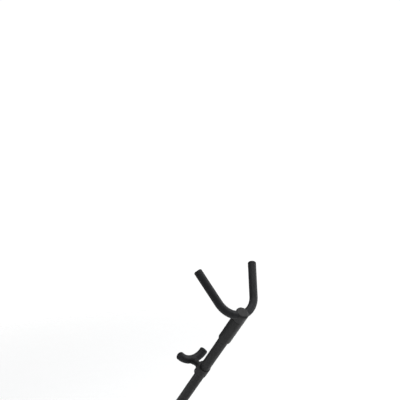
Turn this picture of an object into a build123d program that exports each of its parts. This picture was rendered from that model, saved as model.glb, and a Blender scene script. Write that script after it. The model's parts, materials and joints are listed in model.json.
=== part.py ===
from build123d import *
import math
import os

# A free-standing saxophone stand. A pole leans forwards from a folding three-legged base. A covered
# U-shaped yoke at the top of the pole holds the saxophone's bell, and a smaller covered cradle on a
# collar holds its bow. The yoke's inner tube slides in the pole and is gripped by a twist clutch.
#
# Axes: +X to the right seen from the front, which is the fold knob's side; -Y the way the pole
# leans, which is the front; +Z up.
# Everything is built with its origin on the floor under the fold bolt, then moved along Y as one
# so that the stored origin is the centre of the footprint, on the floor.

os.makedirs("parts", exist_ok=True)

# ---------------------------------------------------------------- driving dimensions, mm and degrees
POLE_LEAN = 40.5            # from vertical, towards -Y
PIVOT_HEIGHT = 64.0         # fold bolt above the floor
POLE_R = 9.5
POLE_BORE_R = 8.3
POLE_FROM = 16.0            # distances along the pole are measured from the fold bolt
POLE_TO = 350.0
POLE_RIVET_AT = 27.0

COLLAR_AT = 200.5           # middle of the lower collar
COLLAR_R = 12.2
COLLAR_OFFSET = 1.7         # the collar is thicker at the back, where the neck is welded on
COLLAR_HEIGHT = 23.0
CRADLE_BACK = 35.3          # cradle's lowest point, behind the collar's middle
CRADLE_UP = 11.3            # and above it
CRADLE_BEND_R = 36.0
CRADLE_HALF_ANGLE = 43.0    # cover's half angle about the bend's centre
CRADLE_COVER_R = 8.0
NECK_R = 6.0
NECK_RISE = 12.0            # neck's slope from the collar up to the cradle

ROD_R = 4.0                 # bent steel rod in the yoke and the cradle
YOKE_COVER_R = 7.5
CAP_LENGTH = 6.0            # domed end cap past the end of each cover
CAP_GRIP = 2.5              # length of rod held in a cap

YOKE_AT = 378.0             # where the yoke's lowest point crosses the pole's axis
YOKE_BEND_R = 40.0
YOKE_SPLAY = 19.0           # each arm's lean outwards
YOKE_DEPTH = 84.0           # cover's end above the yoke's lowest point, in the yoke's own plane
YOKE_BACK_TILT = 31.5       # yoke's plane from vertical, towards +Y
HEAD_FROM = 367.0
HEAD_TO = 386.0
TUBE_SOCKET = 4.0           # depth of the sliding tube's socket in the head

CLUTCH_R = 11.8
CLUTCH_FROM = 304.5
CLUTCH_TO = 366.7
FERRULE_R = 10.4
COLLET_TO = 362.0
INNER_R = 6.5
INNER_BORE_R = 5.3
INNER_FROM = 210.0          # lower end of the bush with the yoke right down
BUSH_LENGTH = 18.0
STOP_R = 7.8                # flange and circlip that keep the bush on the tube

LEG_R = 8.0
LEG_BORE_R = 6.8
LEG_AXIS_HEIGHT = 23.0      # leg's axis above the floor at the hub
FOOT_AXIS_HEIGHT = 12.0     # and at the foot
SIDE_LEG_LENGTH = 200.0
FRONT_LEG_LENGTH = 320.0
FRONT_LEG_FROM = -2.0       # back end of the front leg's tube, from the fold bolt
LEG_PIVOT_X = 24.0
LEG_OPEN_ANGLE = 120.0      # side leg from the front leg when open
LEG_TUBE_FROM = 14.0        # where a side leg's tube starts, from its bolt
LEG_RIVET_AT = 25.0
FOOT_R = 11.5
FOOT_LENGTH = 24.0
FOOT_WALL = 3.0             # rubber past the end of the leg

HUB_HALF_WIDTH = 41.0
HUB_FRONT = -20.0
HUB_REAR = 27.0
HUB_TOP = 41.0
PLATE_LOW = 9.9
PLATE_HIGH = 12.9
DECK_LOW = 32.1             # underside of the hub's upper deck
WEB_HALF_WIDTH = 12.0
WEB_REAR = 12.0
EAR_INNER = 10.5
EAR_OUTER = 16.5
EAR_R = 13.0
PILLAR_R = 4.0
PILLAR_OUT = 18.0           # pillar's distance from the leg bolt, along the open leg

BOLT_R = 4.0                # fold bolt
LEG_BOLT_R = 3.0
LEG_WASHER_R = 8.0
SCREW_R = 2.0
SCREW_TO = 24.0
RIVET_R = 2.0
RIVET_HEAD = 0.6            # how far a rivet stands out of its tube
KNUCKLE_HALF_WIDTH = 9.3
KNOB_FROM = 18.3
KNOB_GRIP_FROM = 23.0
KNOB_TO = 38.0
KNOB_R = 17.0
INSERT_R = 6.5
INSERT_TO = 30.0
RUN_FIT = 0.06              # radial clearance of a turning or sliding fit
GAP = 0.3                   # between pieces that move past each other

# ---------------------------------------------------------------- frames worked out from them
UPRIGHT = (Align.CENTER, Align.CENTER, Align.MIN)
lean = math.radians(POLE_LEAN)
tilt = math.radians(YOKE_BACK_TILT)
ALONG_POLE = Vector(0, -math.sin(lean), math.cos(lean))
ALONG_ARMS = Vector(0, math.sin(tilt), math.cos(tilt))
PIVOT = Vector(0, 0, PIVOT_HEIGHT)
POLE = Plane(origin=PIVOT, x_dir=(1, 0, 0), z_dir=ALONG_POLE)
YOKE_BOTTOM = PIVOT + ALONG_POLE * YOKE_AT
YOKE = Plane(origin=YOKE_BOTTOM, x_dir=(1, 0, 0), z_dir=Vector(1, 0, 0).cross(ALONG_ARMS))
COLLAR_MIDDLE = PIVOT + ALONG_POLE * COLLAR_AT
CRADLE_BOTTOM = COLLAR_MIDDLE + Vector(0, CRADLE_BACK, CRADLE_UP)
CRADLE = Plane(origin=CRADLE_BOTTOM, x_dir=(1, 0, 0), z_dir=(0, -1, 0))


def rod(radius, low, high):
    """A solid cylinder on the local Z axis."""
    return Pos(0, 0, low) * Cylinder(radius, high - low, align=UPRIGHT)


def tube(outer, inner, low, high):
    return rod(outer, low, high) - rod(inner, low, high)


def cone(low_radius, high_radius, low, high):
    return Pos(0, 0, low) * Cone(low_radius, high_radius, high - low, align=UPRIGHT)


def along_x(shape):
    """Turn a shape built on the Z axis to lie on the X axis."""
    return Rot(0, 90, 0) * shape


def hexagon(across_flats, low, high):
    return Pos(0, 0, low) * extrude(RegularPolygon(across_flats / math.sqrt(3), 6), high - low)


def block(x_low, x_high, y_low, y_high, z_low, z_high):
    size = Box(x_high - x_low, y_high - y_low, z_high - z_low, align=(Align.MIN,) * 3)
    return Pos(x_low, y_low, z_low) * size


def dome(radius, length, rounding):
    """A short cylinder from Z = 0 with its far rim rounded."""
    body = rod(radius, 0, length)
    return fillet(body.edges().group_by(Axis.Z)[-1], rounding)


# ---------------------------------------------------------------- base
def leg_plane(length):
    """A leg's frame: Z runs down the leg, which points to -Y from the hub."""
    drop = math.asin((LEG_AXIS_HEIGHT - FOOT_AXIS_HEIGHT) / length)
    down = Vector(0, -math.cos(drop), -math.sin(drop))
    return Plane(origin=(0, 0, LEG_AXIS_HEIGHT), x_dir=(1, 0, 0), z_dir=down)


def side_leg_place(side):
    """Where an open side leg goes: side is -1 for the one at -X and +1 for the one at +X."""
    return Pos(side * LEG_PIVOT_X, 0, 0) * Rot(0, 0, side * LEG_OPEN_ANGLE)


def rubber_foot(length):
    """A boot over the leg's end, with a flat pad that stands on the floor."""
    pad_half = 8.0
    pad_length = 18.0
    leg = leg_plane(length)
    boot = Pos(0, 0, length + FOOT_WALL - FOOT_LENGTH) * dome(FOOT_R, FOOT_LENGTH, 2.5)
    pad = block(-pad_half, pad_half, -length, pad_length - length, 0, FOOT_AXIS_HEIGHT)
    pad = fillet(pad.edges().filter_by(Axis.Z), 3.0)
    below_floor = block(-30, 30, -length - 60, -length + 60, -20, 0)
    return leg * boot + pad - leg * rod(LEG_R, 0, length) - below_floor


def leg_tube(length, start):
    return leg_plane(length) * tube(LEG_R, LEG_BORE_R, start, length)


def leg_knuckle():
    """Turns on the leg bolt and plugs into the leg's tube."""
    barrel = rod(11.0, LEG_AXIS_HEIGHT - LEG_R, LEG_AXIS_HEIGHT + LEG_R)
    plug = rod(LEG_R, 0, LEG_TUBE_FROM) + rod(LEG_BORE_R, LEG_TUBE_FROM, LEG_TUBE_FROM + 22.0)
    arm = leg_plane(SIDE_LEG_LENGTH) * plug
    washer_room = rod(LEG_WASHER_R + 1, 0, LEG_AXIS_HEIGHT - LEG_R)
    return barrel + arm - washer_room - rod(LEG_BOLT_R + RUN_FIT, 0, 60) - leg_rivet()


def rivet(tube_radius):
    """Across a tube, on the X axis, with a low head at each side."""
    return along_x(rod(RIVET_R, -tube_radius - RIVET_HEAD, tube_radius + RIVET_HEAD))


def leg_rivet():
    return leg_plane(SIDE_LEG_LENGTH) * Pos(0, 0, LEG_RIVET_AT) * rivet(LEG_R)


def side_leg(side):
    name = "left" if side < 0 else "right"
    place = side_leg_place(side)
    return {
        f"{name}_leg_tube": place * (leg_tube(SIDE_LEG_LENGTH, LEG_TUBE_FROM) - leg_rivet()),
        f"{name}_leg_knuckle": place * leg_knuckle(),
        f"{name}_leg_rivet": place * leg_rivet(),
        f"{name}_leg_foot": place * rubber_foot(SIDE_LEG_LENGTH),
    }


def front_leg_pin():
    return Pos(0, -10.0, LEG_AXIS_HEIGHT) * along_x(rod(RIVET_R, -WEB_HALF_WIDTH, WEB_HALF_WIDTH))


def front_leg():
    return {
        "front_leg_tube": leg_tube(FRONT_LEG_LENGTH, FRONT_LEG_FROM) - front_leg_pin(),
        "front_leg_pin": front_leg_pin(),
        "front_leg_foot": rubber_foot(FRONT_LEG_LENGTH),
    }


def pillar_centre(side):
    """A pillar is the stop that an open side leg rests against."""
    angle = math.radians(LEG_OPEN_ANGLE)
    off = LEG_R + GAP + PILLAR_R
    x = LEG_PIVOT_X + PILLAR_OUT * math.sin(angle) + off * math.cos(angle)
    y = -PILLAR_OUT * math.cos(angle) + off * math.sin(angle)
    return side * x, y


def hub_plan(low, high):
    deck = block(-HUB_HALF_WIDTH, HUB_HALF_WIDTH, HUB_FRONT, HUB_REAR, low, high)
    return fillet(deck.edges().filter_by(Axis.Z), 12.0)


def at_each_leg_bolt(shape):
    return [Pos(side * LEG_PIVOT_X, 0, 0) * shape for side in (-1, 1)]


def hub_body():
    """Casting: the deck over the leg knuckles, the web that holds the front leg, and two ears."""
    deck = hub_plan(DECK_LOW, HUB_TOP)
    deck = fillet(deck.edges().group_by(Axis.Z)[-1], 2.0)
    web = block(-WEB_HALF_WIDTH, WEB_HALF_WIDTH, HUB_FRONT, WEB_REAR, PLATE_HIGH, DECK_LOW)
    body = deck + web
    for side in (-1, 1):
        x, y = pillar_centre(side)
        body += Pos(x, y, 0) * rod(PILLAR_R, PLATE_HIGH, DECK_LOW)
        inner, outer = sorted((side * EAR_INNER, side * EAR_OUTER))
        body += block(inner, outer, -EAR_R, EAR_R, HUB_TOP - 1.0, PIVOT_HEIGHT)
        body += Pos(0, 0, PIVOT_HEIGHT) * along_x(rod(EAR_R, inner, outer))
    body -= leg_plane(FRONT_LEG_LENGTH) * rod(LEG_R, FRONT_LEG_FROM, 60.0)
    body -= front_leg_pin()
    body -= Pos(0, 0, PIVOT_HEIGHT) * along_x(rod(BOLT_R, -40, 40))
    for hole in at_each_leg_bolt(rod(LEG_BOLT_R, 0, 60)):
        body -= hole
    for x, y in screw_places():
        body -= Pos(x, y, 0) * rod(SCREW_R, PLATE_HIGH, SCREW_TO)
    return body


def screw_places():
    return [pillar_centre(-1), pillar_centre(1), (0, 7.5)]


def hub_plate():
    plate = hub_plan(PLATE_LOW, PLATE_HIGH)
    for hole in at_each_leg_bolt(rod(LEG_BOLT_R, 0, 60)):
        plate -= hole
    for x, y in screw_places():
        plate -= Pos(x, y, 0) * rod(SCREW_R, 0, SCREW_TO)
    return plate


def hub_screws():
    head = Rot(180, 0, 0) * dome(3.6, 2.4, 1.2)
    screw = Pos(0, 0, PLATE_LOW) * head + rod(SCREW_R, PLATE_LOW, SCREW_TO)
    screw -= hexagon(2.5, 0, PLATE_LOW - 0.8)
    return [Pos(x, y, 0) * screw for x, y in screw_places()]


def leg_bolts():
    head = Pos(0, 0, HUB_TOP) * dome(5.5, 3.0, 1.8)
    bolt = head + rod(LEG_BOLT_R, 4.4, HUB_TOP) - hexagon(4.0, HUB_TOP + 1.0, HUB_TOP + 4.0)
    return at_each_leg_bolt(bolt)


def leg_nuts():
    return at_each_leg_bolt(hexagon(10.0, 4.9, PLATE_LOW) - rod(LEG_BOLT_R, 0, 20))


def leg_washers():
    lower = tube(LEG_WASHER_R, LEG_BOLT_R, PLATE_HIGH, LEG_AXIS_HEIGHT - LEG_R - 0.1)
    upper = tube(LEG_WASHER_R, LEG_BOLT_R, LEG_AXIS_HEIGHT + LEG_R + 0.1, DECK_LOW)
    return at_each_leg_bolt(lower) + at_each_leg_bolt(upper)


# ---------------------------------------------------------------- fold joint
def on_fold_bolt(shape):
    return Pos(0, 0, PIVOT_HEIGHT) * along_x(shape)


def fold_bolt():
    head = Rot(180, 0, 0) * dome(7.5, 4.5, 3.0)
    return on_fold_bolt(Pos(0, 0, -EAR_OUTER) * head + rod(BOLT_R, -EAR_OUTER, 34.0))


def fold_friction_washers():
    washer = tube(11.0, BOLT_R, KNUCKLE_HALF_WIDTH + 0.1, EAR_INNER)
    return [on_fold_bolt(washer), on_fold_bolt(Rot(180, 0, 0) * washer)]


def fold_knob_washer():
    return on_fold_bolt(tube(9.0, BOLT_R, EAR_OUTER, KNOB_FROM - GAP))


def fold_knob_insert():
    collar = tube(INSERT_R, BOLT_R + RUN_FIT, KNOB_FROM, INSERT_TO)
    grooves = [tube(INSERT_R + 1, INSERT_R - 0.5, z, z + 1.2) for z in (21.5, 25.0)]
    return on_fold_bolt(collar - grooves)


def fold_knob():
    """A six-lobed hand knob moulded round its brass insert."""
    lobes = Circle(KNOB_R)
    for turn in range(6):
        lobes -= Rot(0, 0, 60 * turn) * Pos(KNOB_R + 3.0, 0) * Circle(6.0)
    grip = Pos(0, 0, KNOB_GRIP_FROM) * extrude(lobes, KNOB_TO - KNOB_GRIP_FROM)
    grip = fillet(grip.edges().group_by(Axis.Z)[-1], 1.5)
    knob = grip + rod(10.0, KNOB_FROM, KNOB_GRIP_FROM + 1)
    return on_fold_bolt(knob - rod(BOLT_R + 0.6, KNOB_FROM, KNOB_TO - 2)) - solid_insert()


def solid_insert():
    return fold_knob_insert() + on_fold_bolt(rod(BOLT_R + RUN_FIT, KNOB_FROM, INSERT_TO))


# ---------------------------------------------------------------- pole
def pole_tube():
    shape = tube(POLE_R, POLE_BORE_R, POLE_FROM, POLE_TO)
    return POLE * shape - pole_rivet() - collar_pin()


def pole_knuckle():
    """Turns on the fold bolt. Its heel rests on the deck and stops the pole leaning back."""
    barrel = on_fold_bolt(rod(12.0, -KNUCKLE_HALF_WIDTH, KNUCKLE_HALF_WIDTH))
    stem = POLE * (rod(9.0, 0, POLE_FROM) + rod(POLE_BORE_R, POLE_FROM, POLE_FROM + 22.0))
    width = KNUCKLE_HALF_WIDTH
    heel = block(-width, width, 2.0, 15.0, HUB_TOP + 0.1, PIVOT_HEIGHT)
    heel = fillet(heel.edges().filter_by(Axis.X).sort_by(Axis.Y)[-2:], 3.0)
    return barrel + stem + heel - on_fold_bolt(rod(BOLT_R + RUN_FIT, -30, 30)) - pole_rivet()


def pole_rivet():
    return POLE * Pos(0, 0, POLE_RIVET_AT) * rivet(POLE_R)


# ---------------------------------------------------------------- lower collar and cradle
def cradle_collar():
    ring = rod(COLLAR_R, COLLAR_AT - COLLAR_HEIGHT / 2, COLLAR_AT + COLLAR_HEIGHT / 2)
    ring = Pos(0, COLLAR_OFFSET, 0) * fillet(ring.edges().filter_by(GeomType.CIRCLE), 0.8)
    return POLE * (ring - rod(POLE_R, 0, POLE_TO)) - collar_pin()


def collar_pin():
    """A spring pin through the collar and one wall of the pole."""
    return POLE * Pos(0, 0, COLLAR_AT - 6.0) * along_x(rod(1.5, INNER_R, COLLAR_R - 0.5))


def cradle_path(extra):
    """The cradle's bend in its own upright plane, with extra length past each end of the cover."""
    half = CRADLE_HALF_ANGLE + math.degrees(extra / CRADLE_BEND_R)
    return CRADLE * CenterArc((0, CRADLE_BEND_R), CRADLE_BEND_R, 270 - half, 2 * half)


def swept(path, radius):
    section = Plane(origin=path @ 0, z_dir=path % 0) * Circle(radius)
    return sweep(section, path=path)


def cradle_rod():
    return swept(cradle_path(CAP_GRIP), ROD_R)


def neck_cylinder():
    """From the cradle's lowest point down into the collar."""
    rise = math.radians(NECK_RISE)
    along_neck = Vector(0, math.cos(rise), math.sin(rise))
    return Plane(CRADLE_BOTTOM, x_dir=(1, 0, 0), z_dir=along_neck) * rod(NECK_R, -CRADLE_BACK, 0)


def cradle_neck():
    """A round bar welded between the collar and the cradle's rod."""
    return neck_cylinder() - POLE * Pos(0, COLLAR_OFFSET, 0) * rod(COLLAR_R, 0, POLE_TO) - cradle_rod()


def cradle_cover():
    return swept(cradle_path(0), CRADLE_COVER_R) - cradle_rod() - neck_cylinder()


def end_cap(path, end, cover_radius, covered_rod):
    """A domed cap on one end of a covered rod: end is 0 or 1 along the cover's path."""
    outwards = path % end
    if end == 0:
        outwards = outwards * -1
    place = Plane(origin=path @ end, z_dir=outwards)
    return place * dome(cover_radius, CAP_LENGTH, 3.5) - covered_rod


# ---------------------------------------------------------------- clutch
def clutch_ferrule():
    """A threaded ferrule on the end of the pole."""
    return POLE * tube(FERRULE_R, POLE_R, CLUTCH_FROM + 0.6, POLE_TO)


def clutch_collet():
    """A split ring that grips the sliding tube when the clutch is turned."""
    ring = cone(9.8, 8.6, POLE_TO, COLLET_TO) - rod(INNER_R + RUN_FIT, POLE_TO, COLLET_TO)
    slit = block(-0.8, 0.8, 0, FERRULE_R, POLE_TO, COLLET_TO)
    return POLE * (ring - slit)


def clutch_sleeve():
    """The outer grip, smooth and slightly thicker than the pole."""
    grip = rod(CLUTCH_R, CLUTCH_FROM, CLUTCH_TO)
    grip = fillet(grip.edges().group_by(Axis.Z)[0], 1.2)
    grip = fillet(grip.edges().group_by(Axis.Z)[-1], 0.4)
    grip -= rod(FERRULE_R + RUN_FIT, CLUTCH_FROM, POLE_TO + 0.5)
    grip -= cone(10.0, 8.8, POLE_TO + 0.5, COLLET_TO + GAP)
    return POLE * (grip - rod(INNER_R + 0.1, CLUTCH_FROM, CLUTCH_TO))


# ---------------------------------------------------------------- sliding tube
def slider_bush():
    """A nylon bush that slides in the pole, and in which the sliding tube can turn."""
    return POLE * tube(POLE_BORE_R - RUN_FIT, INNER_R + RUN_FIT, INNER_FROM, INNER_FROM + BUSH_LENGTH)


def inner_tube():
    shape = tube(INNER_R, INNER_BORE_R, INNER_FROM - GAP, HEAD_FROM + TUBE_SOCKET)
    return POLE * shape - yoke_tube_pin()


def inner_tube_plug():
    flange = rod(STOP_R, INNER_FROM - 3.0, INNER_FROM - GAP)
    return POLE * (flange + rod(INNER_BORE_R, INNER_FROM - GAP, INNER_FROM + 10.0))


def inner_tube_circlip():
    low = INNER_FROM + BUSH_LENGTH + GAP
    ring = tube(STOP_R, INNER_R, low, low + 1.2)
    mouth = block(-2.5, 2.5, 0, 9.0, low, low + 1.2)
    return POLE * (ring - mouth)


# ---------------------------------------------------------------- yoke
def yoke_path(extra):
    """The U of the yoke in its own plane, with extra length past each end of the cover."""
    splay = math.radians(YOKE_SPLAY)
    knee_x = YOKE_BEND_R * math.cos(splay)
    knee_y = YOKE_BEND_R * (1 - math.sin(splay))
    length = (YOKE_DEPTH - knee_y) / math.cos(splay) + extra
    tip_x = knee_x + length * math.sin(splay)
    tip_y = knee_y + length * math.cos(splay)
    bend = CenterArc((0, YOKE_BEND_R), YOKE_BEND_R, 180 + YOKE_SPLAY, 180 - 2 * YOKE_SPLAY)
    left = Line((-tip_x, tip_y), (-knee_x, knee_y))
    right = Line((knee_x, knee_y), (tip_x, tip_y))
    return YOKE * Wire([left, bend, right])


def yoke_rod():
    return swept(yoke_path(CAP_GRIP), ROD_R)


def yoke_head():
    """Joins the bent rod to the sliding tube."""
    body = Pos(0, 0, HEAD_FROM) * dome(CLUTCH_R, HEAD_TO - HEAD_FROM, 4.0)
    body = fillet(body.edges().group_by(Axis.Z)[0], 0.4)
    body -= rod(INNER_R, HEAD_FROM, HEAD_FROM + TUBE_SOCKET)
    return POLE * body - yoke_rod() - yoke_tube_pin() - yoke_rod_pin()


def yoke_tube_pin():
    return POLE * Pos(0, 0, HEAD_FROM + 2.0) * along_x(rod(1.0, -CLUTCH_R + 0.3, CLUTCH_R - 0.3))


def yoke_rod_pin():
    """Driven down from the head's top through the middle of the bent rod."""
    return POLE * rod(1.5, YOKE_AT - 3.0, HEAD_TO - 0.4)


def yoke_covers():
    """One length of cover on each arm, from the head to the cap."""
    head_room = POLE * rod(CLUTCH_R, HEAD_FROM - 17, HEAD_TO + 10)
    both = swept(yoke_path(0), YOKE_COVER_R) - yoke_rod() - head_room
    left, right = both.solids().sort_by(Axis.X)
    return left, right


def yoke():
    bare_rod = yoke_rod()
    left, right = yoke_covers()
    path = yoke_path(0)
    return {
        "yoke_head": yoke_head(),
        "yoke_tube_pin": yoke_tube_pin(),
        "yoke_rod_pin": yoke_rod_pin(),
        "yoke_rod": bare_rod - yoke_rod_pin(),
        "yoke_cover_left": left,
        "yoke_cover_right": right,
        "yoke_cap_left": end_cap(path, 0, YOKE_COVER_R, bare_rod),
        "yoke_cap_right": end_cap(path, 1, YOKE_COVER_R, bare_rod),
    }


def cradle():
    bare_rod = cradle_rod()
    path = cradle_path(0)
    return {
        "cradle_collar": cradle_collar(),
        "cradle_collar_pin": collar_pin(),
        "cradle_neck": cradle_neck(),
        "cradle_rod": bare_rod,
        "cradle_cover": cradle_cover(),
        "cradle_cap_left": end_cap(path, 0, CRADLE_COVER_R, bare_rod),
        "cradle_cap_right": end_cap(path, 1, CRADLE_COVER_R, bare_rod),
    }


def build():
    nodes = {
        "hub_body": hub_body(),
        "hub_plate": hub_plate(),
        "hub_screws": hub_screws(),
        "leg_bolts": leg_bolts(),
        "leg_nuts": leg_nuts(),
        "leg_washers": leg_washers(),
        "fold_bolt": fold_bolt(),
        "fold_friction_washers": fold_friction_washers(),
        "fold_knob_washer": fold_knob_washer(),
        "fold_knob": fold_knob(),
        "fold_knob_insert": fold_knob_insert(),
        "pole_tube": pole_tube(),
        "pole_knuckle": pole_knuckle(),
        "pole_rivet": pole_rivet(),
        "clutch_ferrule": clutch_ferrule(),
        "clutch_collet": clutch_collet(),
        "clutch_sleeve": clutch_sleeve(),
        "slider_bush": slider_bush(),
        "inner_tube": inner_tube(),
        "inner_tube_plug": inner_tube_plug(),
        "inner_tube_circlip": inner_tube_circlip(),
    }
    nodes.update(front_leg())
    nodes.update(side_leg(-1))
    nodes.update(side_leg(1))
    nodes.update(cradle())
    nodes.update(yoke())
    return nodes


def as_compound(shape):
    """One compound for each node, which holds all of its separate solids."""
    shapes = shape if isinstance(shape, list) else [shape]
    return Compound(children=[solid for item in shapes for solid in item.solids()])


NODES = {name: as_compound(shape) for name, shape in build().items()}
feet = [NODES[f"{leg}_leg_foot"].bounding_box() for leg in ("front", "left", "right")]
CENTRE_Y = -(min(foot.min.Y for foot in feet) + max(foot.max.Y for foot in feet)) / 2

if __name__ == "__main__":
    for node_name, node in NODES.items():
        export_step(Pos(0, CENTRE_Y, 0) * node, f"parts/{node_name}.step")
    print("nodes", len(NODES), "hub's Y", round(CENTRE_Y, 3))
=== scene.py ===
import json
import math

import bmesh
import bpy
from mathutils import Matrix, Vector


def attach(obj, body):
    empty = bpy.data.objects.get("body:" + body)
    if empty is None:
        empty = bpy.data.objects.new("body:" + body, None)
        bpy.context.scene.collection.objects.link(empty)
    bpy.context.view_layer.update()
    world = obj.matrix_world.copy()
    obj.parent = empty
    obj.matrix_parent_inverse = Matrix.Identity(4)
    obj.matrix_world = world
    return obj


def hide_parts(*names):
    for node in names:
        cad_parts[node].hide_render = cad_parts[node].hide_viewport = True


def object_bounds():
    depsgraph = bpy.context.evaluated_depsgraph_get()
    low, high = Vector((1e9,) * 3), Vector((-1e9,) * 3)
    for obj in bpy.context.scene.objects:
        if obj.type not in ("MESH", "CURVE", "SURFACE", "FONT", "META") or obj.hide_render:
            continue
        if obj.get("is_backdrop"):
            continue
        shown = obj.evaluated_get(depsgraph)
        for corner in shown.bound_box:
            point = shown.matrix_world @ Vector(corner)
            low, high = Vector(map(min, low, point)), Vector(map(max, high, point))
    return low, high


# The look of a free-standing saxophone stand. Its tubes, hub, joints and fasteners are the CAD nodes
# with finer materials. Its rubber covers, caps and feet are made again here with their details.
# Lengths are in metres and angles in degrees, +Z is up and -Y is the front.

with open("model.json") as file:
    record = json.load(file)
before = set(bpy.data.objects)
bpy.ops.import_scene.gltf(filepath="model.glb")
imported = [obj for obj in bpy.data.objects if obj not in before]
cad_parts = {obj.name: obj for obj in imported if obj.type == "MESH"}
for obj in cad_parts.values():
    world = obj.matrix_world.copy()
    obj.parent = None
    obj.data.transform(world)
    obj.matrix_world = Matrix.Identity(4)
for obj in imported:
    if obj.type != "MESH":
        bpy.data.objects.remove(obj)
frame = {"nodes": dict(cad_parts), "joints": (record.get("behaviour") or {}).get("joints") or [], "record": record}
cad_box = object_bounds()
NODES = frame["nodes"]
JOINTS = {joint["name"]: joint for joint in frame["joints"]}


# ---------------------------------------------------------------- camera, light and floor
CAMERA_AZIMUTH = -34.76     # degrees; 0 looks along +Y
CAMERA_ELEVATION = 8.61
CAMERA_DISTANCE = 1.436     # metres from the aim point
CAMERA_AIM = Vector((-0.0059, -0.0236, 0.5368))
FIELD_OF_VIEW = 28.05       # degrees
DIM_SIDE_AZIMUTH = -155.0   # where the surround is darkest


def direction(azimuth, elevation):
    """From the aim point back to a camera or lamp at this azimuth and elevation, in degrees."""
    a = math.radians(azimuth)
    e = math.radians(elevation)
    return Vector((math.sin(a) * math.cos(e), -math.cos(a) * math.cos(e), math.sin(e)))


def point_at(obj, target):
    """Turn a camera or lamp to look at the target."""
    obj.rotation_euler = (target - obj.location).to_track_quat("-Z", "Y").to_euler()


def make_camera():
    """A camera at the photograph's viewpoint."""
    data = bpy.data.cameras.new("camera")
    data.sensor_width = 36.0
    data.angle = math.radians(FIELD_OF_VIEW)
    data.clip_start = 0.05
    camera = bpy.data.objects.new("camera", data)
    camera.location = CAMERA_AIM + CAMERA_DISTANCE * direction(CAMERA_AZIMUTH, CAMERA_ELEVATION)
    point_at(camera, CAMERA_AIM)
    bpy.context.scene.collection.objects.link(camera)
    bpy.context.scene.camera = camera


def softbox(name, azimuth, elevation, distance, size, watts):
    """A square area light that faces the stand."""
    data = bpy.data.lights.new(name, "AREA")
    data.size = size
    data.energy = watts
    lamp = bpy.data.objects.new(name, data)
    middle_of_stand = Vector((0, 0, 0.2))
    lamp.location = middle_of_stand + distance * direction(azimuth, elevation)
    point_at(lamp, middle_of_stand)
    bpy.context.scene.collection.objects.link(lamp)


def make_lights():
    """A broad light overhead, a key light on the right and a faint one behind on the left."""
    softbox("overhead_softbox", azimuth=20, elevation=80, distance=2.0, size=2.2, watts=30)
    softbox("right_softbox", azimuth=75, elevation=20, distance=1.8, size=1.4, watts=14)
    softbox("left_softbox", azimuth=-130, elevation=30, distance=2.0, size=1.4, watts=1.5)


def make_world():
    """A white surround to the camera, and a dimmer light on the object that falls off to one side."""
    world = bpy.data.worlds.new("studio")
    world.use_nodes = True
    nodes = world.node_tree.nodes
    links = world.node_tree.links
    nodes.clear()
    path = nodes.new("ShaderNodeLightPath")
    seen = nodes.new("ShaderNodeBackground")
    seen.inputs["Color"].default_value = (1, 1, 1, 1)
    seen.inputs["Strength"].default_value = 1.05
    lit = nodes.new("ShaderNodeBackground")
    lit.inputs["Color"].default_value = (0.97, 0.985, 1.0, 1)
    place = nodes.new("ShaderNodeTexCoord")
    towards_dim_side = nodes.new("ShaderNodeVectorMath")
    towards_dim_side.operation = "DOT_PRODUCT"
    towards_dim_side.inputs[1].default_value = direction(DIM_SIDE_AZIMUTH, 0)
    falloff = nodes.new("ShaderNodeMapRange")
    falloff.interpolation_type = "SMOOTHSTEP"
    limits = {"From Min": 0.1, "From Max": 0.9, "To Min": 0.47, "To Max": 0.16}
    for socket, number in limits.items():
        falloff.inputs[socket].default_value = number
    links.new(place.outputs["Generated"], towards_dim_side.inputs[0])
    links.new(towards_dim_side.outputs["Value"], falloff.inputs["Value"])
    links.new(falloff.outputs["Result"], lit.inputs["Strength"])
    mix = nodes.new("ShaderNodeMixShader")
    out = nodes.new("ShaderNodeOutputWorld")
    links.new(path.outputs["Is Camera Ray"], mix.inputs[0])
    links.new(lit.outputs[0], mix.inputs[1])
    links.new(seen.outputs[0], mix.inputs[2])
    links.new(mix.outputs[0], out.inputs["Surface"])
    bpy.context.scene.world = world
    bpy.context.scene.view_settings.view_transform = "Standard"


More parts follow.
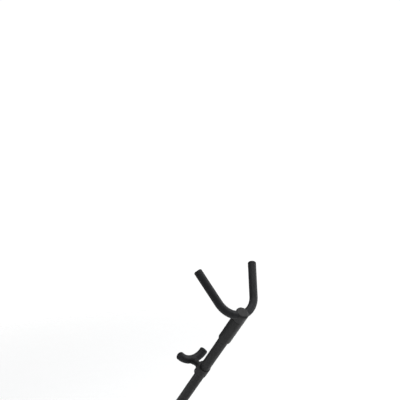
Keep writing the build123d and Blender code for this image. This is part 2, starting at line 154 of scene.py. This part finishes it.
def make_floor():
    """A pale round floor that fades into the white surround."""
    radius = 1.6
    mesh = bpy.data.meshes.new("floor")
    shape = bmesh.new()
    bmesh.ops.create_circle(shape, cap_ends=True, radius=radius, segments=96)
    shape.to_mesh(mesh)
    shape.free()
    floor = bpy.data.objects.new("floor", mesh)
    floor.location.z = -0.0002      # just under the feet
    bpy.context.scene.collection.objects.link(floor)

    material = bpy.data.materials.new("pale_floor")
    material.use_nodes = True
    tree = material.node_tree
    shader = tree.nodes["Principled BSDF"]
    shader.inputs["Base Color"].default_value = (0.96, 0.96, 0.958, 1)
    shader.inputs["Roughness"].default_value = 0.9
    shader.inputs["Emission Color"].default_value = (1, 1, 1, 1)
    shader.inputs["Emission Strength"].default_value = 0.085
    place = tree.nodes.new("ShaderNodeTexCoord")
    reach = tree.nodes.new("ShaderNodeVectorMath")
    reach.operation = "LENGTH"
    fade = tree.nodes.new("ShaderNodeMapRange")
    fade.inputs["From Min"].default_value = 0.35 * radius
    fade.inputs["From Max"].default_value = 0.8 * radius
    fade.inputs["To Min"].default_value = 1.0
    fade.inputs["To Max"].default_value = 0.0
    tree.links.new(place.outputs["Object"], reach.inputs[0])
    tree.links.new(reach.outputs["Value"], fade.inputs["Value"])
    tree.links.new(fade.outputs["Result"], shader.inputs["Alpha"])
    mesh.materials.append(material)
    floor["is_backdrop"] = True


# ---------------------------------------------------------------- material building blocks
class Look:
    """A material under construction: each method adds one procedural layer to it."""

    def __init__(self, name, roughness, metallic=0.0):
        self.material = bpy.data.materials.new(name)
        self.material.use_nodes = True
        self.tree = self.material.node_tree
        self.shader = self.tree.nodes["Principled BSDF"]
        self.shader.inputs["Metallic"].default_value = metallic
        self.shader.inputs["Roughness"].default_value = roughness
        self.relief = None
        coordinates = self.tree.nodes.new("ShaderNodeTexCoord")
        self.place = coordinates.outputs["Object"]

    def noise(self, scale, detail=3.0, stretch=(1, 1, 1)):
        """Noise with about `scale` features in a metre, closer together where stretch is large."""
        spread = self.tree.nodes.new("ShaderNodeMapping")
        spread.inputs["Scale"].default_value = stretch
        texture = self.tree.nodes.new("ShaderNodeTexNoise")
        texture.inputs["Scale"].default_value = scale
        texture.inputs["Detail"].default_value = detail
        self.tree.links.new(self.place, spread.inputs["Vector"])
        self.tree.links.new(spread.outputs["Vector"], texture.inputs["Vector"])
        return texture.outputs["Fac"]

    def pores(self, scale):
        """Distance to the nearest of scattered points, for pitted and pebbled surfaces."""
        texture = self.tree.nodes.new("ShaderNodeTexVoronoi")
        texture.inputs["Scale"].default_value = scale
        self.tree.links.new(self.place, texture.inputs["Vector"])
        return texture.outputs["Distance"]

    def ramp(self, value, low, high, start=0.3, end=0.7):
        """Colours from low to high as value goes from start to end."""
        node = self.tree.nodes.new("ShaderNodeValToRGB")
        node.color_ramp.elements[0].position = start
        node.color_ramp.elements[1].position = end
        node.color_ramp.elements[0].color = (*low, 1)
        node.color_ramp.elements[1].color = (*high, 1)
        self.tree.links.new(value, node.inputs["Fac"])
        return node.outputs["Color"]

    def blend(self, factor, a, b):
        """Colour a where factor is 0, and b where it is 1."""
        node = self.tree.nodes.new("ShaderNodeMix")
        node.data_type = "RGBA"
        self.tree.links.new(factor, node.inputs["Factor"])
        self.tree.links.new(a, node.inputs["A"])
        self.tree.links.new(b, node.inputs["B"])
        return node.outputs["Result"]

    def span(self, value, low, high, start=0.3, end=0.7):
        """A number from low to high as value goes from start to end."""
        node = self.tree.nodes.new("ShaderNodeMapRange")
        limits = {"From Min": start, "From Max": end, "To Min": low, "To Max": high}
        for socket, number in limits.items():
            node.inputs[socket].default_value = number
        self.tree.links.new(value, node.inputs["Value"])
        return node.outputs["Result"]

    def round_edges(self, radius):
        """Shade sharp edges as if they were rounded. This comes before any other relief."""
        bevel = self.tree.nodes.new("ShaderNodeBevel")
        bevel.samples = 6
        bevel.inputs["Radius"].default_value = radius
        self.relief = bevel.outputs["Normal"]

    def edge_wear(self):
        """How rubbed each point is, from 0 away from the rounded edges to 0.3 on them."""
        true_shape = self.tree.nodes.new("ShaderNodeNewGeometry")
        agreement = self.tree.nodes.new("ShaderNodeVectorMath")
        agreement.operation = "DOT_PRODUCT"
        self.tree.links.new(self.relief, agreement.inputs[0])
        self.tree.links.new(true_shape.outputs["Normal"], agreement.inputs[1])
        return self.span(agreement.outputs["Value"], 0.3, 0.0, 0.7, 1.0)

    def bump(self, value, depth, strength=1.0):
        """Relief `depth` metres deep, on top of any earlier relief."""
        node = self.tree.nodes.new("ShaderNodeBump")
        node.inputs["Strength"].default_value = strength
        node.inputs["Distance"].default_value = depth
        self.tree.links.new(value, node.inputs["Height"])
        if self.relief is not None:
            self.tree.links.new(self.relief, node.inputs["Normal"])
        self.relief = node.outputs["Normal"]
        self.tree.links.new(self.relief, self.shader.inputs["Normal"])

    def colour(self, value):
        """Take the base colour from this output."""
        self.tree.links.new(value, self.shader.inputs["Base Color"])

    def roughness(self, value):
        """Take the roughness from this output."""
        self.tree.links.new(value, self.shader.inputs["Roughness"])


def powder_coat():
    """Black textured powder coat: a fine pebbled skin, mottled at a millimetre or two, rubbed at edges."""
    look = Look("black_powder_coat", 0.5)
    look.shader.inputs["Specular IOR Level"].default_value = 0.265
    look.round_edges(0.0007)
    edge = look.edge_wear()
    grain = look.noise(520, detail=4)
    patches = look.noise(330, detail=2)
    skin = look.ramp(grain, (0.001, 0.001, 0.0011), (0.005, 0.005, 0.0052), 0.36, 0.66)
    dull = look.ramp(grain, (0.0075, 0.0075, 0.0077), (0.0175, 0.0175, 0.018), 0.36, 0.66)
    rubbed = look.ramp(grain, (0.03, 0.03, 0.03), (0.07, 0.07, 0.07))
    look.colour(look.blend(edge, look.blend(look.span(patches, 0, 1, 0.4, 0.6), skin, dull), rubbed))
    look.roughness(look.span(look.noise(900), 0.42, 0.64))
    look.bump(look.pores(1100), 0.00022, 0.7)
    look.bump(grain, 0.00014, 0.5)
    return look.material


def casting():
    """Painted die casting, smoother than the tubes, with a faint ripple from the mould."""
    look = Look("black_casting", 0.45)
    look.shader.inputs["Specular IOR Level"].default_value = 0.34
    look.round_edges(0.0009)
    edge = look.edge_wear()
    paint = look.ramp(look.noise(160), (0.006, 0.006, 0.0063), (0.012, 0.012, 0.0124))
    rubbed = look.ramp(look.noise(700), (0.025, 0.025, 0.026), (0.06, 0.06, 0.06))
    look.colour(look.blend(edge, paint, rubbed))
    look.roughness(look.span(look.noise(500), 0.36, 0.52))
    look.bump(look.noise(260, detail=5), 0.00012, 0.5)
    look.bump(look.noise(60), 0.0003, 0.3)
    return look.material


def smooth_plastic():
    """Moulded black plastic, satin and almost without texture, with fine handling scratches."""
    look = Look("black_moulded_plastic", 0.4)
    look.shader.inputs["Specular IOR Level"].default_value = 0.26
    look.round_edges(0.0005)
    edge = look.edge_wear()
    clean = look.ramp(look.noise(110), (0.004, 0.004, 0.0041), (0.0075, 0.0075, 0.0077))
    handled = look.ramp(look.noise(500), (0.016, 0.016, 0.016), (0.03, 0.03, 0.03))
    look.colour(look.blend(edge, clean, handled))
    look.roughness(look.span(look.noise(350, detail=5), 0.36, 0.5))
    look.bump(look.noise(700, stretch=(1, 1, 0.1)), 0.00003, 0.4)
    look.bump(look.noise(1500), 0.00003, 0.4)
    return look.material


def cover_rubber():
    """The soft black covers: a faintly blue black with fine pores and a dull sheen."""
    look = Look("black_rubber_cover", 0.6)
    look.shader.inputs["Specular IOR Level"].default_value = 0.3
    look.shader.inputs["Sheen Weight"].default_value = 0.05
    look.round_edges(0.0004)
    edge = look.edge_wear()
    clean = look.ramp(look.noise(120, detail=5), (0.0028, 0.0031, 0.0042), (0.0078, 0.0083, 0.0102))
    chalky = look.ramp(look.noise(900), (0.014, 0.0145, 0.016), (0.03, 0.031, 0.033))
    look.colour(look.blend(edge, clean, chalky))
    look.roughness(look.span(look.noise(500), 0.5, 0.7))
    look.bump(look.pores(1700), 0.00006, 0.5)
    look.bump(look.noise(180), 0.00016, 0.5)
    return look.material


def foot_rubber():
    """Matt foot rubber, greyer where dust clings to it."""
    look = Look("black_foot_rubber", 0.8)
    look.shader.inputs["Specular IOR Level"].default_value = 0.3
    clean = look.ramp(look.noise(200, detail=5), (0.008, 0.008, 0.008), (0.016, 0.016, 0.0155))
    dusty = look.ramp(look.noise(900), (0.024, 0.023, 0.021), (0.05, 0.048, 0.044))
    look.colour(look.blend(look.span(look.noise(45, detail=6), 0.0, 0.5, 0.5, 0.75), clean, dusty))
    look.roughness(look.span(look.noise(300), 0.7, 0.9))
    look.bump(look.noise(1300), 0.00010, 0.6)
    return look.material


def metal(name, dark, light, roughness, stretch):
    """Plated or turned metal, its fine tool marks set closest along the axis of the largest stretch."""
    look = Look(name, roughness, metallic=1.0)
    look.round_edges(0.0003)
    marks = look.noise(1400, detail=4, stretch=stretch)
    look.colour(look.ramp(look.noise(140), dark, light))
    look.roughness(look.span(marks, roughness * 0.75, roughness * 1.3))
    look.bump(marks, 0.00002, 0.4)
    return look.material


def nylon():
    """Natural nylon, translucent and slightly yellow, for washers and bushes."""
    look = Look("natural_nylon", 0.42)
    look.shader.inputs["Subsurface Weight"].default_value = 0.1
    look.shader.inputs["Subsurface Radius"].default_value = (0.001, 0.001, 0.001)
    look.colour(look.ramp(look.noise(80), (0.62, 0.61, 0.56), (0.72, 0.71, 0.67)))
    look.roughness(look.span(look.noise(400), 0.36, 0.5))
    look.bump(look.noise(900), 0.00003, 0.4)
    return look.material


def make_finishes():
    """One material for each of the record's material slots."""
    return {
        "black_powder_coat": powder_coat(),
        "black_casting": casting(),
        "black_nylon": smooth_plastic(),
        "black_rubber": foot_rubber(),
        "black_cover": cover_rubber(),
        "zinc_steel": metal("zinc_plate", (0.42, 0.43, 0.45), (0.6, 0.61, 0.62), 0.34, (1, 1, 6)),
        "chrome_tube": metal("chrome_tube", (0.6, 0.61, 0.62), (0.72, 0.72, 0.73), 0.14, (8, 1, 1)),
        "white_nylon": nylon(),
        "brass": metal("turned_brass", (0.56, 0.38, 0.13), (0.74, 0.55, 0.24), 0.28, (8, 1, 1)),
    }


def paint_cad_nodes(finishes):
    """Give every CAD node the finish of its material slot."""
    for entry in frame["record"]["subparts"]:
        mesh = NODES[entry["node"]].data
        mesh.materials.clear()
        mesh.materials.append(finishes[entry["material_slot"]])


# ---------------------------------------------------------------- places taken from the frame
PIVOT = Vector(JOINTS["pole_fold"]["pos_m"])
ALONG_POLE = Vector(JOINTS["yoke_slide"]["axis"]).normalized()
LEG_BOLTS = {side: Vector(JOINTS[f"{side}_leg_swivel"]["pos_m"]) for side in ("left", "right")}
ACROSS = Vector((1, 0, 0))
BEHIND_POLE = ALONG_POLE.cross(ACROSS)

# The CAD model's own dimensions for the pieces that are made again here, in metres and degrees.
YOKE_AT = 0.378             # yoke's lowest point, along the pole from the fold bolt
YOKE_BEND_R = 0.040
YOKE_SPLAY = 19.0           # each arm's lean outwards
YOKE_DEPTH = 0.084          # covers' ends above the yoke's lowest point, in the yoke's plane
YOKE_BACK_TILT = 31.5
YOKE_COVER_R = 0.0075
HEAD_R = 0.0118
COLLAR_AT = 0.2005          # collar's middle, along the pole from the fold bolt
COLLAR_R = 0.0122
COLLAR_OFFSET = 0.0017      # collar's axis, behind the pole's
CRADLE_BACK = 0.0353        # cradle's lowest point, behind the collar's middle
CRADLE_UP = 0.0113          # and above it
CRADLE_BEND_R = 0.036
CRADLE_HALF_ANGLE = 43.0
CRADLE_COVER_R = 0.008
NECK_R = 0.006
NECK_RISE = 12.0            # from the collar to the cradle
CAP_LENGTH = 0.006
CAP_GRIP = 0.0025           # length of rod held in a cap
ROD_R = 0.0040
LEG_R = 0.0080
LEG_LENGTHS = {"front": 0.320, "left": 0.200, "right": 0.200}
LEG_OPEN_ANGLE = 120.0      # from the front leg to each side leg
FOOT_AXIS_HEIGHT = 0.012    # leg's axis above the floor, at the leg's end
FOOT_R = 0.0115
FOOT_LENGTH = 0.024
FOOT_WALL = 0.003
TREAD_DEPTH = 0.0008

ON_AXIS = 0.00005           # radius of the tiny face that closes a turned solid
SLIVER = 0.000002           # edges shorter than this are dropped from a union
COLLAR_MIDDLE = PIVOT + COLLAR_AT * ALONG_POLE
CRADLE_BOTTOM = COLLAR_MIDDLE + Vector((0, CRADLE_BACK, CRADLE_UP))


def axes(origin, x, z):
    """A matrix that puts local X and Z along the given directions at the origin given."""
    y = z.cross(x)
    columns = Matrix((x, y, z)).transposed().to_4x4()
    columns.translation = origin
    return columns


# ---------------------------------------------------------------- mesh building blocks
def piece(name, shape, finish, body, nodes=()):
    """A finished piece of the stand from a bmesh, riding on its body and standing for CAD nodes."""
    bmesh.ops.recalc_face_normals(shape, faces=shape.faces)
    mesh = bpy.data.meshes.new(name)
    shape.to_mesh(mesh)
    shape.free()
    mesh.materials.append(finish)
    for polygon in mesh.polygons:
        polygon.use_smooth = True
    mesh.set_sharp_from_angle(angle=math.radians(50))
    obj = bpy.data.objects.new(name, mesh)
    bpy.context.scene.collection.objects.link(obj)
    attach(obj, body)
    if nodes:
        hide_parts(*nodes)


def skin_rings(shape, rings, closed=False):
    """Faces between neighbouring rings of vertices, with an end face on each open end."""
    pairs = list(zip(rings, rings[1:]))
    if closed:
        pairs.append((rings[-1], rings[0]))
    for low, high in pairs:
        for here in range(len(low)):
            there = (here + 1) % len(low)
            shape.faces.new((low[here], low[there], high[there], high[here]))
    if not closed:
        shape.faces.new(rings[0])
        shape.faces.new(rings[-1])


def swept(points, normal, radius, bore, around=96):
    """A tube along a flat path. radius(s, angle) gives its outer radius s metres along, at an angle
    from the outer side of the path's bend."""
    shape = bmesh.new()
    outside = []
    inside = []
    travelled = 0.0
    for index, point in enumerate(points):
        before = points[max(index - 1, 0)]
        after = points[min(index + 1, len(points) - 1)]
        outwards = normal.cross((after - before).normalized())
        travelled += (point - before).length
        outer_ring = []
        inner_ring = []
        for step in range(around):
            angle = math.tau * step / around
            spoke = math.cos(angle) * outwards + math.sin(angle) * normal
            outer_ring.append(shape.verts.new(point + radius(travelled, angle) * spoke))
            inner_ring.append(shape.verts.new(point + bore * spoke))
        outside.append(outer_ring)
        inside.append(inner_ring)
    skin_rings(shape, outside + inside[::-1], closed=True)
    return shape


def turned(profile, place, closed=False, around=96):
    """A solid of revolution about the local Z axis. The profile is (radius, height) pairs, and runs
    from the axis to the axis, or all round a ring's section where closed is true."""
    shape = bmesh.new()
    rings = []
    for radius, height in profile:
        ring = []
        for step in range(around):
            angle = math.tau * step / around
            spot = Vector((radius * math.cos(angle), radius * math.sin(angle), height))
            ring.append(shape.verts.new(place @ spot))
        rings.append(ring)
    skin_rings(shape, rings, closed)
    return shape


def joined(first, second):
    """The union of two closed bmeshes, as one closed bmesh."""
    solids = []
    for shape in (first, second):
        bmesh.ops.recalc_face_normals(shape, faces=shape.faces)
        mesh = bpy.data.meshes.new("solid_to_join")
        shape.to_mesh(mesh)
        shape.free()
        solid = bpy.data.objects.new("solid_to_join", mesh)
        bpy.context.scene.collection.objects.link(solid)
        solids.append(solid)
    union = solids[0].modifiers.new("union", "BOOLEAN")
    union.operation = "UNION"
    union.solver = "EXACT"
    union.object = solids[1]
    whole = bmesh.new()
    whole.from_object(solids[0], bpy.context.evaluated_depsgraph_get())
    bmesh.ops.remove_doubles(whole, verts=whole.verts, dist=SLIVER)
    bmesh.ops.dissolve_degenerate(whole, edges=whole.edges, dist=SLIVER)
    bmesh.ops.triangulate(whole, faces=[face for face in whole.faces if len(face.verts) > 4])
    for solid in solids:
        bpy.data.objects.remove(solid)
    return whole


def arc_profile(centre_radius, centre_height, radius, start, end, steps=8):
    """Profile points round an arc, from start to end in degrees from the outward direction."""
    points = []
    for step in range(steps + 1):
        angle = math.radians(start + (end - start) * step / steps)
        across = centre_radius + radius * math.cos(angle)
        points.append((across, centre_height + radius * math.sin(angle)))
    return points


# ---------------------------------------------------------------- rubber covers and caps
def swell(distance, width):
    """A smooth rise, 1 high at no distance and gone by about twice the width."""
    return math.exp(-(distance / width) ** 2)


def angle_between(a, b):
    """The smaller angle between two directions, whichever way round it is."""
    return abs((a - b + math.pi) % math.tau - math.pi)


def cover_skin(radius, length, bend_from, bend_to, open_ends):
    """A cover's radius at each point: a rounded rim and a cuff at each open end, a mould line down
    each side, and faint creases inside the bend. open_ends is for the path's start and its end."""
    body = radius - 0.00015
    rim = 0.0004
    cuff = 0.00015
    cuff_from_end = 0.0022
    cuff_width = 0.0014
    mould_line = 0.00009
    mould_line_width = 0.045    # radians
    crease = 0.00012
    crease_pitch = 0.0034

    def at(s, angle):
        r = body
        for from_end, is_open in zip((s, length - s), open_ends):
            if is_open:
                r += cuff * swell(from_end - cuff_from_end, cuff_width)
                if from_end < rim:
                    r -= rim - math.sqrt(rim ** 2 - (rim - from_end) ** 2)
        for side in (math.pi / 2, -math.pi / 2):
            r += mould_line * swell(angle_between(angle, side), mould_line_width)
        if bend_from < s < bend_to:
            fade = math.sin(math.pi * (s - bend_from) / (bend_to - bend_from))
            inner = max(0.0, -math.cos(angle)) ** 3
            r += crease * fade * inner * (math.sin(math.tau * s / crease_pitch) - 0.3)
        return r

    return at


def cap_profile(radius):
    """A pushed-on end cap: its bore, a fine seam, a short wall, a rounded shoulder and a dimpled top."""
    seam_r = radius - 0.0005
    seam_height = 0.0001
    wall_r = radius - 0.00015
    rim = 0.0003
    shoulder = 0.0035
    dimple_r = 0.0025
    dimple_floor_r = 0.0018
    profile = [(ON_AXIS, CAP_GRIP), (ROD_R, CAP_GRIP), (ROD_R, 0.0), (seam_r, 0.0)]
    profile.append((seam_r, seam_height))
    profile += arc_profile(wall_r - rim, seam_height + rim, rim, -90, 0, 4)
    profile += arc_profile(radius - shoulder, CAP_LENGTH - shoulder, shoulder, 0, 90, 12)
    profile += [(dimple_r, CAP_LENGTH), (dimple_floor_r, CAP_LENGTH - 0.0003)]
    profile.append((ON_AXIS, CAP_LENGTH - 0.0004))
    return profile


def end_cap(name, points, cover_radius, finish, body, node):
    """A cap on the last point of a cover's path."""
    outwards = (points[-1] - points[-2]).normalized()
    in_bend_plane = ACROSS.cross(outwards).cross(outwards).normalized()
    shape = turned(cap_profile(cover_radius), axes(points[-1], in_bend_plane, outwards))
    piece(name, shape, finish, body, [node])


def yoke_arm_path(side):
    """From inside the head, round the bend and up the arm, in the yoke's leaning plane."""
    tilt = math.radians(YOKE_BACK_TILT)
    up = Vector((0, math.sin(tilt), math.cos(tilt)))
    origin = PIVOT + YOKE_AT * ALONG_POLE
    turn = math.radians(90 - YOKE_SPLAY)
    inside_head = 0.85 * HEAD_R
    start = math.asin(inside_head / YOKE_BEND_R)
    steps = 64
    flat = []
    for step in range(steps + 1):
        angle = start + (turn - start) * step / steps
        flat.append((YOKE_BEND_R * math.sin(angle), YOKE_BEND_R * (1 - math.cos(angle))))
    knee_x, knee_y = flat[-1]
    straight = (YOKE_DEPTH - knee_y) / math.sin(turn)
    for step in range(1, steps + 1):
        run = straight * step / steps
        flat.append((knee_x + run * math.cos(turn), knee_y + run * math.sin(turn)))
    return [origin + side * x * ACROSS + y * up for x, y in flat]


def path_length(points):
    """The length of a line through these points."""
    return sum((b - a).length for a, b in zip(points, points[1:]))


def yoke_covers(finish):
    """The two arms' covers and the caps at their tips."""
    tilt = math.radians(YOKE_BACK_TILT)
    normal = Vector((0, math.cos(tilt), -math.sin(tilt)))
    bend_from = 0.004
    bend_to = YOKE_BEND_R * math.radians(90 - YOKE_SPLAY)
    for side, name in ((-1, "left"), (1, "right")):
        points = yoke_arm_path(side)
        skin = cover_skin(YOKE_COVER_R, path_length(points), bend_from, bend_to, (False, True))
        shape = swept(points, side * normal, skin, ROD_R)
        piece(f"yoke_{name}_arm_cover", shape, finish, "yoke", [f"yoke_cover_{name}"])
        end_cap(f"yoke_{name}_arm_cap", points, YOKE_COVER_R, finish, "yoke", f"yoke_cap_{name}")


def cradle_path():
    """The cradle's bend, from its left end to its right, in an upright plane across the stand."""
    steps = 100
    points = []
    for step in range(steps + 1):
        angle = math.radians(CRADLE_HALF_ANGLE * (2 * step / steps - 1))
        rise = CRADLE_BEND_R * (1 - math.cos(angle))
        points.append(CRADLE_BOTTOM + Vector((CRADLE_BEND_R * math.sin(angle), 0, rise)))
    return points


def along_neck():
    """The neck's direction, from the cradle down to the collar."""
    rise = math.radians(NECK_RISE)
    return Vector((0, -math.cos(rise), -math.sin(rise)))


def cradle_cover(finish):
    """The cradle's cover and the caps at its two ends."""
    points = cradle_path()
    length = path_length(points)
    uncreased = 0.006
    skin = cover_skin(CRADLE_COVER_R, length, uncreased, length - uncreased, (True, True))
    shape = swept(points, Vector((0, 1, 0)), skin, ROD_R)
    piece("cradle_soft_cover", shape, finish, "pole", ["cradle_cover"])
    end_cap("cradle_right_cap", points, CRADLE_COVER_R, finish, "pole", "cradle_cap_right")
    end_cap("cradle_left_cap", points[::-1], CRADLE_COVER_R, finish, "pole", "cradle_cap_left")


def cradle_cuff(finish):
    """The moulded cuff where the neck comes out of the cradle's cover: a ring with a rounded rim."""
    inside_cover = 0.006
    flare = 0.0006
    wall = 0.0011
    rim = CRADLE_COVER_R + 0.0008
    lip = 0.0001
    profile = [(NECK_R, inside_cover), (NECK_R + wall + flare, inside_cover)]
    profile += arc_profile(NECK_R + lip, rim, wall, 0, 90, 8)
    profile.append((NECK_R, rim + wall - lip))
    shape = turned(profile, axes(CRADLE_BOTTOM, ACROSS, along_neck()), closed=True)
    piece("cradle_cover_cuff", shape, finish, "pole")


# ---------------------------------------------------------------- weld between the collar and the neck
def weld_seam(around):
    """Points where the neck's surface meets the collar's, each with the direction out of the joint.

    A line down the neck's surface is looked at along the pole, where the collar is a circle, and
    the nearer root of a quadratic says how far down the neck the line comes to that circle."""
    down = along_neck()
    over = ACROSS.cross(down)
    collar_centre = COLLAR_MIDDLE + COLLAR_OFFSET * BEHIND_POLE
    run = down - down.dot(ALONG_POLE) * ALONG_POLE
    for step in range(around):
        angle = math.tau * step / around
        spoke = math.cos(angle) * ACROSS + math.sin(angle) * over
        start = CRADLE_BOTTOM + NECK_R * spoke - collar_centre
        start -= start.dot(ALONG_POLE) * ALONG_POLE
        half = start.dot(run) / run.length_squared
        outside = (start.length_squared - COLLAR_R ** 2) / run.length_squared
        reach = -half - math.sqrt(half ** 2 - outside)
        point = CRADLE_BOTTOM + NECK_R * spoke + reach * down
        yield point, (spoke - down).normalized()


def weld_bead(finish):
    """A rippled bead all round the neck's foot."""
    around = 180
    section = 12
    bead_r = 0.0012
    ripples = 22
    ripple = 0.12
    seam = list(weld_seam(around))
    shape = bmesh.new()
    rings = []
    for index, (point, outwards) in enumerate(seam):
        along = (seam[(index + 1) % around][0] - seam[index - 1][0]).normalized()
        across = along.cross(outwards).normalized()
        rippled = bead_r * (1 + ripple * math.sin(math.tau * index * ripples / around))
        ring = []
        for step in range(section):
            angle = math.tau * step / section
            offset = rippled * (math.cos(angle) * outwards + math.sin(angle) * across)
            ring.append(shape.verts.new(point + offset))
        rings.append(ring)
    skin_rings(shape, rings, closed=True)
    piece("neck_weld", shape, finish, "pole")


# ---------------------------------------------------------------- feet
def boot_profile():
    """A boot over a leg's end: its bore, a rolled mouth, two grip grooves and a dimpled toe."""
    mouth_roll = 0.0006
    groove = 0.0006
    groove_heights = (0.0065, 0.0095)
    toe_rounding = 0.003
    dimple_r = 0.004
    dimple_floor_r = 0.003
    bore_depth = FOOT_LENGTH - FOOT_WALL
    profile = [(ON_AXIS, bore_depth), (LEG_R, bore_depth), (LEG_R, 0.0), (FOOT_R - 0.0008, 0.0)]
    profile += arc_profile(FOOT_R - mouth_roll, 0.0008, mouth_roll, -60, 60, 6)
    profile += [(FOOT_R - 0.0005, 0.0017), (FOOT_R - 0.0004, 0.0050)]
    for height in groove_heights:
        profile += arc_profile(FOOT_R, height, groove, 270, 90, 8)
    profile.append((FOOT_R, 0.0125))
    profile += arc_profile(FOOT_R - toe_rounding, FOOT_LENGTH - toe_rounding, toe_rounding, 0, 90, 10)
    profile += [(dimple_r, FOOT_LENGTH), (dimple_floor_r, FOOT_LENGTH - 0.0005)]
    profile.append((ON_AXIS, FOOT_LENGTH - 0.0006))
    return profile


def sole_outline(front, length):
    """The pad's underside from front to back: (distance along the leg, height) at each corner."""
    grooves = 4
    pitch = length / (grooves + 1)
    depth = TREAD_DEPTH
    rear = front - length
    outline = [(front, depth), (front - depth, 0.0)]
    for number in range(1, grooves + 1):
        at = front - number * pitch
        outline += [(at + depth, 0.0), (at + depth / 2, depth)]
        outline += [(at - depth / 2, depth), (at - depth, 0.0)]
    return outline + [(rear + depth, 0.0), (rear, depth)]


def tread_pad(place, front):
    """A round-cornered block under the boot, grooved across its sole, out to `front` along the leg.
    Its top is curved to end inside the boot's wall."""
    half_width = 0.008
    length = 0.018
    corner = 0.004
    sections = []       # places across the pad, each with how far the pad's ends are drawn in there
    for degrees in range(0, 91, 15):
        angle = math.radians(degrees)
        sections.append((corner * (1 - math.cos(angle)) - half_width, corner * (1 - math.sin(angle))))
    sections += [(-half_width / 4, 0.0), (0.0, 0.0)]
    sections += [(-x, inset) for x, inset in reversed(sections[:-1])]
    rear = front - length
    middle = front - length / 2
    sole = sole_outline(front, length)
    inside_wall = (LEG_R + FOOT_R) / 2
    shape = bmesh.new()
    rings = []
    for x, inset in sections:
        top = FOOT_AXIS_HEIGHT - math.sqrt(inside_wall ** 2 - x ** 2)
        ring = []
        for along, height in [(front, top), *sole, (rear, top)]:
            drawn_in = middle + (along - middle) * (1 - 2 * inset / length)
            chamfer = min(inset, TREAD_DEPTH) if height == 0 else 0
            ring.append(shape.verts.new(place @ Vector((x, -drawn_in, height + chamfer))))
        rings.append(ring)
    skin_rings(shape, rings)
    return shape


def leg_heading(name):
    """Where a leg's own frame is: on the floor under its bolt, with -Y along the leg."""
    if name == "front":
        return Matrix.Translation((0, PIVOT.y, 0))
    side = -1 if name == "left" else 1
    bolt = LEG_BOLTS[name]
    turn = Matrix.Rotation(math.radians(side * LEG_OPEN_ANGLE), 4, "Z")
    return Matrix.Translation((bolt.x, bolt.y, 0)) @ turn


def foot(name, finish, body):
    """A leg's rubber foot: a boot on the leg's end, and a pad that stands on the floor."""
    length = LEG_LENGTHS[name]
    heading = leg_heading(name)
    axis_height = LEG_BOLTS["left"].z
    drop = math.asin((axis_height - FOOT_AXIS_HEIGHT) / length)
    down = Vector((0, -math.cos(drop), -math.sin(drop)))
    mouth = Vector((0, 0, axis_height)) + (length + FOOT_WALL - FOOT_LENGTH) * down
    boot = turned(boot_profile(), heading @ axes(mouth, ACROSS, down))
    whole = joined(boot, tread_pad(heading, length))
    piece(f"{name}_foot", whole, finish, body, [f"{name}_leg_foot"])


# ---------------------------------------------------------------- the scene
make_camera()
make_lights()
make_world()
make_floor()
finishes = make_finishes()
paint_cad_nodes(finishes)
yoke_covers(finishes["black_cover"])
cradle_cover(finishes["black_cover"])
cradle_cuff(finishes["black_cover"])
weld_bead(finishes["black_powder_coat"])
foot("front", finishes["black_rubber"], "hub")
foot("left", finishes["black_rubber"], "left_leg")
foot("right", finishes["black_rubber"], "right_leg")

visual_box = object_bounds()
boxes = {"cad": cad_box, "visual": visual_box}
{name: [list(corner) for corner in box] for name, box in boxes.items()}
